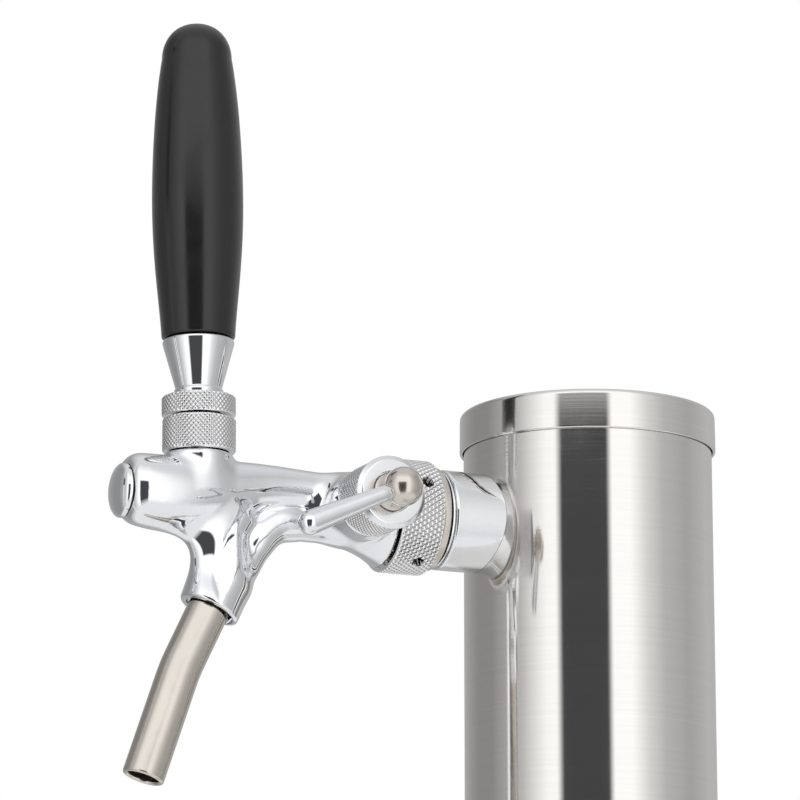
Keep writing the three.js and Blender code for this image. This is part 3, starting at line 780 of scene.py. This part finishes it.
def faucetBody():
    points, quads = netOver(bodyField, *faucetForm["box"], faucetForm["cell"])
    points = laidOnField(bodyField, points, quads, 5)
    skin = bpy.data.meshes.new("skin")
    skin.from_pydata((points * (1, -1, 1) + (0, 0, tapHeight)) * mm, [], quads)
    bm = bmesh.new()
    bm.from_mesh(skin)
    bpy.data.meshes.remove(skin)
    bmesh.ops.recalc_face_normals(bm, faces=bm.faces)
    cutter = bmesh.new()
    outletLine = Matrix.Translation(faucetPoint(mouth[1], mouth[2])) @ Matrix.Rotation(-outletTilt, 4, "X")
    bore = faucetForm["mouthBore"]
    addSpun(cutter, [(0, -2), (bore, -2), (bore, 3), (6.5, 3.4), (6.5, 14), (0, 14)],
            outletLine @ Matrix.Translation((0, 0.5 * mm, 0)), 96)
    addSpun(cutter, [(0, 150.8), (8.35, 150.8), (8.35, 154), (0, 154)], plugLine, 96)
    addSpun(cutter, [(0, 60), (13.4, 60), (13.4, 70), (9.4, 72), (7.2, 77), (7.2, 87.5), (0, 87.5)],
            faucetLine, 64)
    print("body faces before its bores:", len(bm.faces))
    valveRoom = bmesh.new()
    addSpun(valveRoom, [(0, 79), (4.9, 79), (4.9, 98), (0, 98)],
            faucetLine @ Matrix.Translation((0, valveHeight * mm, 0)), 64)
    made = cutAway(cutAway(bm, cutter), valveRoom)
    return finished("faucetBody", made, upright, chromeCast, "tower", ["faucet_body"], 35)


faucetBody()
print("faucet body made")


def frontPlug():
    plug = {"radius": 8.1, "seat": 151.3, "tip": 155.0}
    rise = plug["tip"] - plug["seat"] - 0.6
    dome = [(plug["radius"] * math.cos(t), plug["seat"] + 0.6 + rise * math.sin(t))
            for t in [math.radians(5 + 85 * i / 14) for i in range(14)]]
    bm = spun([(0, plug["seat"] - 6), (6.5, plug["seat"] - 6), (6.5, plug["seat"]),
               (plug["radius"] - 0.2, plug["seat"]),
               (plug["radius"], plug["seat"] + 0.2), *dome, (0, plug["tip"])], 128)
    return finished("frontPlug", bm, plugLine, chromeTurned,
                    "tower", ["front_plug"])


frontPlug()


# Lever, handle

collar = {"radius": 10.85, "low": 13.4, "high": 23.8}
jam = {"radius": 10.95, "low": 24.3, "high": 30.4, "pivot": 15, "sweep": 13.6, "bore": 5.0}


def leverCollar():
    c = collar
    band = {"radius": c["radius"], "low": c["low"] + 0.75, "high": c["high"] - 0.75, "rows": 6,
            "count": 47, "depth": 0.3}
    before = [(8.7, 17.4), (8.7, c["low"]), (c["radius"] - 0.9, c["low"]),
              (c["radius"] - 0.35, c["low"] + 0.3)]
    after = [(c["radius"] - 0.35, c["high"] - 0.3), (c["radius"] - 0.9, c["high"]), (9.2, c["high"]),
             (5.85, 18.2), (5.85, 17.4)]
    return knurled("leverCollar", {"before": before, "after": after}, band, leverLine, "tower",
                   "lever_collar")


def jamNut():
    j = jam
    band = {"radius": j["radius"], "low": j["low"] + 0.6, "high": j["high"] - 0.7, "rows": 3,
            "count": 47, "depth": 0.3}
    rimTurn = math.degrees(math.asin((j["low"] - j["pivot"]) / j["sweep"]))
    boreTurn = math.degrees(math.acos(j["bore"] / j["sweep"]))
    before = [*arcPoints((0, j["pivot"]), j["sweep"], boreTurn, rimTurn, 8), (j["radius"] - 0.5, j["low"]),
              (j["radius"] - 0.25, j["low"] + 0.2)]
    after = [(j["radius"] - 0.3, j["high"] - 0.3), (j["radius"] - 0.9, j["high"]), (j["bore"], j["high"])]
    return knurled("jamNut", {"before": before, "after": after}, band, stickLine, "lever", "handle_jam_nut")


def handleFerrule():
    f = {"bore": 5.0, "low": 30.7, "foot": 7.25, "waist": 6.85, "rim": 10.6, "top": 47.6}
    outline = [(f["bore"], f["low"]), (f["foot"] - 0.2, f["low"]), (f["foot"], f["low"] + 0.2),
               (f["foot"], f["low"] + 1.5), (f["waist"] + 0.1, f["low"] + 1.9),
               (f["waist"] + 0.05, f["low"] + 2.3),
               (f["rim"], 46.3), *arcPoints((f["rim"] - 0.9, 46.7), 0.9, 0, 90, 5), (f["bore"], f["top"])]
    bm = spun(outline, 128)
    bevelSharp(bm, 0.12, 30, 2)
    return finished("handleFerrule", bm, stickLine, chromeTurned, "lever", ["handle_ferrule"])


def tapHandle():
    # a long barrel swell with a domed top; rings are [radius, height above the foot]
    h = {"low": 47.9, "high": 145, "bore": 6.6, "boreDepth": 28, "dome": 9.9}
    length = h["high"] - h["low"]
    key = [(11.0, 2.0), (11.75, 10.8), (12.65, 20.5), (13.3, 30), (13.6, 39.5), (13.5, 48.5), (13.2, 58.5),
           (12.65, 67.5), (11.75, 77), (10.8, 84.5)]
    swell = np.polynomial.Polynomial.fit([z for _, z in key], [r for r, _ in key], 5)
    side = [(float(swell(z)), z) for z in np.linspace(1.2, length - h["dome"] - 0.8, 44)]
    top = side[-1][0]
    rise = length - side[-1][1]
    dome = [(top * math.cos(t) ** 0.86, side[-1][1] + rise * math.sin(t)) for t in
            [math.radians(90 * i / 22) for i in range(1, 22)]]
    foot = [(0, h["boreDepth"]), (h["bore"], h["boreDepth"]), (h["bore"], 0), (side[0][0] - 1.0, 0)]
    foot += arcPoints((side[0][0] - 1.0, 1.0), 1.0, 288, 345, 3)
    bm = spun(foot + side + dome + [(0, length)], 128)
    return finished("tapHandle", bm, stickLine @ Matrix.Translation((0, 0, h["low"] * mm)), blackGrip, "lever",
                    ["tap_handle"], 55)


leverCollar()
jamNut()
handleFerrule()
tapHandle()
print("lever and handle made")


# Spout

def spoutTube():
    spout = {"radius": 6.2, "wall": 1.6, "inside": 13.0, "straight": 16.0, "bendLength": 7.0, "length": 54.2,
             "tilt": math.radians(18.8), "steps": 8}
    bm = bmesh.new()
    place = Matrix.Translation(faucetPoint(mouth[1], mouth[2])) @ Matrix.Rotation(-outletTilt, 4, "X")
    place = place @ Matrix.Translation((0, 0, spout["inside"] * mm))
    ring = bmesh.ops.create_circle(bm, segments=96, radius=spout["radius"] * mm, matrix=place)["verts"]
    loop = list({e for v in ring for e in v.link_edges})
    turn = (outletTilt - spout["tilt"]) / spout["steps"]
    hops = [(spout["inside"] + spout["straight"], 0)]
    hops += [(spout["bendLength"] / spout["steps"], turn)] * spout["steps"]
    hops += [(spout["length"] - spout["straight"] - spout["bendLength"], 0)]
    for reach, bend in hops:
        grown = bmesh.ops.extrude_edge_only(bm, edges=loop)["geom"]
        ring = [g for g in grown if isinstance(g, bmesh.types.BMVert)]
        loop = [g for g in grown if isinstance(g, bmesh.types.BMEdge) and g.is_boundary]
        moved = place @ Matrix.Translation((0, 0, -reach * mm)) @ Matrix.Rotation(bend, 4, "X")
        bmesh.ops.transform(bm, matrix=moved @ place.inverted(), verts=ring)
        place = moved
    bmesh.ops.recalc_face_normals(bm, faces=bm.faces)
    bmesh.ops.solidify(bm, geom=bm.faces[:], thickness=spout["wall"] * mm)
    bmesh.ops.recalc_face_normals(bm, faces=bm.faces)
    bevelSharp(bm, 0.75, 60, 5)
    return finished("spoutTube", bm, upright, spoutNickel, "tower", ["spout_tube"])


spoutTube()
print("spout made")


# Flow control

flow = {"glandLow": 14, "glandHigh": 30, "glandRadius": 10.6, "discRadius": 10.9, "hub": 5.8,
        "ball": 39.8, "ballRadius": 5.8, "rodTilt": 24, "reach": 35.7}


def flowGland():
    f = flow
    r = f["glandRadius"]
    band = {"radius": r, "low": 17.6, "high": 29.0, "rows": 7, "count": 45, "depth": 0.32}
    before = [(3.3, 24.9), (5.6, 24.9), (5.6, 22.3), (7.8, 22.3), (7.8, f["glandLow"]), (9.4, f["glandLow"]),
              (9.8, f["glandLow"] + 0.5), (9.8, 16.8), (r - 0.5, 17.1)]
    after = [(r - 0.4, 29.4), (r - 1.1, f["glandHigh"]), (3.3, f["glandHigh"])]
    return knurled("flowGland", {"before": before, "after": after}, band, flowLine, "tower", "flow_gland")


def flowDisc():
    r, high, bore = flow["discRadius"], 32.3, flow["hub"] + 0.35
    bm = spun([(bore, 30.3), (r - 0.3, 30.3), (r, 30.6), (r, 31.1), (r - 1.2, high - 0.1), (r - 1.6, high),
               (bore, high)], 128)
    bevelSharp(bm, 0.12, 15, 2)
    addSpun(bm, [(3.3, 30.3), (bore - 0.1, 30.3), (bore - 0.1, 30.9), (3.3, 30.9)], upright, 64)
    return finished("flowDisc", bm, flowLine, satinChrome, "flow_control", ["flow_disc"])


def flowHub():
    bm = spun([(0, 31.2), (flow["hub"], 31.2), (flow["hub"], 32.0), (4.6, 32.9), (3.6, 35.2), (0, 35.2)], 96)
    bevelSharp(bm, 0.25, 30, 3)
    return finished("flowHub", bm, flowLine, trimNickel, "flow_control", ["flow_hub"])


def flowBall():
    bm = bmesh.new()
    bmesh.ops.create_uvsphere(bm, u_segments=96, v_segments=64, radius=flow["ballRadius"] * mm,
                              matrix=Matrix.Translation((0, 0, flow["ball"] * mm)))
    return finished("flowBall", bm, flowLine, trimNickel, "flow_control", ["flow_ball"])


def flowRod():
    f = flow
    tip = 3.65
    start = f["ballRadius"] - 0.5
    side = [(2.25, start), (2.35, start + 0.3)]
    side += [(2.35 + (tip - 2.35) * t, start + 0.3 + (f["reach"] - tip - start - 0.3) * t)
             for t in [i / 12 for i in range(1, 13)]]
    end = arcPoints((0, f["reach"] - tip), tip, 6, 84, 12)
    bm = spun([(0, start)] + side + end + [(0, f["reach"])], 96)
    aim = Matrix.Rotation(math.radians(f["rodTilt"]), 4, "Z") @ Matrix.Rotation(math.radians(90), 4, "X")
    place = flowLine @ Matrix.Translation((0, 0, f["ball"] * mm)) @ aim
    return finished("flowRod", bm, place, chromeTurned, "flow_control", ["flow_rod"])


flowGland()
flowDisc()
flowHub()
flowBall()
flowRod()
print("flow control made")


# Studio

def paleFloor():
    # a round pale sheet that fades out at its rim
    sheet = {"radius": 0.45, "fadeFrom": 0.28}
    bm = bmesh.new()
    bmesh.ops.create_circle(bm, cap_ends=True, segments=96, radius=sheet["radius"])
    mesh = bpy.data.meshes.new("floor")
    bm.to_mesh(mesh)
    bm.free()
    floor = bpy.data.objects.new("floor", mesh)
    bpy.context.scene.collection.objects.link(floor)
    material, tree, shader, coords = newMaterial("paleFloor", (0.9, 0.9, 0.9), 0, 0.6)
    shader.inputs["Emission Color"].default_value = (1, 1, 1, 1)
    shader.inputs["Emission Strength"].default_value = 0.25
    spread = tree.nodes.new("ShaderNodeVectorMath")
    spread.operation = "LENGTH"
    tree.links.new(coords, spread.inputs[0])
    fade = mapRange(tree, spread.outputs["Value"], sheet["fadeFrom"], sheet["radius"], 1, 0)
    tree.links.new(fade, shader.inputs["Alpha"])
    mesh.materials.append(material)


# Directions round the tent are in degrees from +X, heights are the sine of the elevation.
tent = {"strength": 1.25, "slot": (-57, -51, -10, -5), "slotTop": (0.24, 0.3), "seam": -104,
        "roof": (0.65, 0.95)}


def window(tree, value, edges):
    rise = mapRange(tree, value, edges[0], edges[1], 0, 1)
    return mathNode(tree, "MULTIPLY", rise, mapRange(tree, value, edges[2], edges[3], 1, 0))


def mixColours(tree, factor, a, b):
    node = tree.nodes.new("ShaderNodeMix")
    node.data_type = "RGBA"
    tree.links.new(factor, node.inputs[0])
    for socket, value in ((node.inputs[6], a), (node.inputs[7], b)):
        if isinstance(value, bpy.types.NodeSocket):
            tree.links.new(value, socket)
        else:
            socket.default_value = (*value, 1)
    return node.outputs[2]


def rampNode(tree, factor, stops, low, high):
    node = tree.nodes.new("ShaderNodeValToRGB")
    tree.links.new(factor, node.inputs["Fac"])
    elements = node.color_ramp.elements
    while len(elements) < len(stops):
        elements.new(0.5)
    for element, (place, value) in zip(elements, stops):
        element.position = (place - low) / (high - low)
        element.color = (value, value, value, 1)
    return node.outputs["Color"]


def tentWorld():
    # a white photo tent: bright sides, greyer towards its far walls, and a dark gap to shoot through
    world = bpy.data.worlds.new("tent")
    bpy.context.scene.world = world
    world.use_nodes = True
    tree = world.node_tree
    tree.nodes.clear()
    split = tree.nodes.new("ShaderNodeSeparateXYZ")
    tree.links.new(tree.nodes.new("ShaderNodeTexCoord").outputs["Generated"], split.inputs[0])
    height = split.outputs["Z"]
    turn = mathNode(tree, "ARCTAN2", split.outputs["Y"], split.outputs["X"])
    around = mathNode(tree, "MULTIPLY", turn, 180 / math.pi)
    walls = rampNode(tree, mapRange(tree, around, -180, 180, 0, 1), [
        (-180, 0.33), (-150, 0.24), (-128, 0.24), (-112, 0.34), (-92, 0.46), (-66, 0.95), (-53, 1.0),
        (12, 1.0), (28, 0.66), (46, 0.45), (75, 0.36), (110, 0.44), (180, 0.33)], -180, 180)
    offSeam = mathNode(tree, "ABSOLUTE", mathNode(tree, "SUBTRACT", around, tent["seam"]))
    seamLight = mapRange(tree, offSeam, 1.2, 1.6, 0.1, 0.95)
    seamHere = mapRange(tree, offSeam, 3.4, 3.9, 1, 0)
    seamDark = mathNode(tree, "MULTIPLY", mapRange(tree, offSeam, 5.0, 5.6, 1, 0),
                        window(tree, height, (0.219, 0.223, 0.4, 0.5)))
    seamed = mixColours(tree, seamHere, walls, seamLight)
    seamed = mixColours(tree, seamDark, seamed, (0.07, 0.07, 0.08))
    slot = window(tree, around, tent["slot"])
    low, high = tent["slotTop"]
    slot = mathNode(tree, "MULTIPLY", slot, mapRange(tree, height, low, high, 1, 0))
    slotted = mixColours(tree, slot, seamed, (0.055, 0.055, 0.057))
    roof = mapRange(tree, height, *tent["roof"], 0, 1)
    lit = tree.nodes.new("ShaderNodeBackground")
    lit.inputs["Strength"].default_value = tent["strength"]
    tree.links.new(mixColours(tree, roof, slotted, (0.62, 0.62, 0.63)), lit.inputs["Color"])
    paper = tree.nodes.new("ShaderNodeBackground")
    paper.inputs["Color"].default_value = (1, 1, 1, 1)
    choose = tree.nodes.new("ShaderNodeMixShader")
    tree.links.new(tree.nodes.new("ShaderNodeLightPath").outputs["Is Camera Ray"], choose.inputs["Fac"])
    tree.links.new(lit.outputs[0], choose.inputs[1])
    tree.links.new(paper.outputs[0], choose.inputs[2])
    tree.links.new(choose.outputs[0], tree.nodes.new("ShaderNodeOutputWorld").inputs["Surface"])


shot = {"place": (1128.9, -575.2, 35.1), "azimuth": 65.6, "elevation": -13.2, "lens": 190.19}


def shootingCamera():
    # well back and low on the lever's side, through a long lens
    turn, tilt = math.radians(shot["azimuth"]), math.radians(shot["elevation"])
    back = Vector((math.sin(turn) * math.cos(tilt), -math.cos(turn) * math.cos(tilt), math.sin(tilt)))
    camera = bpy.data.objects.new("camera", bpy.data.cameras.new("camera"))
    camera.data.lens = shot["lens"]
    camera.data.sensor_width = 36
    camera.location = Vector(shot["place"]) * mm
    camera.rotation_euler = back.to_track_quat("Z", "Y").to_euler()
    bpy.context.scene.collection.objects.link(camera)
    bpy.context.scene.camera = camera


paleFloor()
tentWorld()
shootingCamera()
bpy.context.scene.view_settings.view_transform = "Standard"
print("studio made")
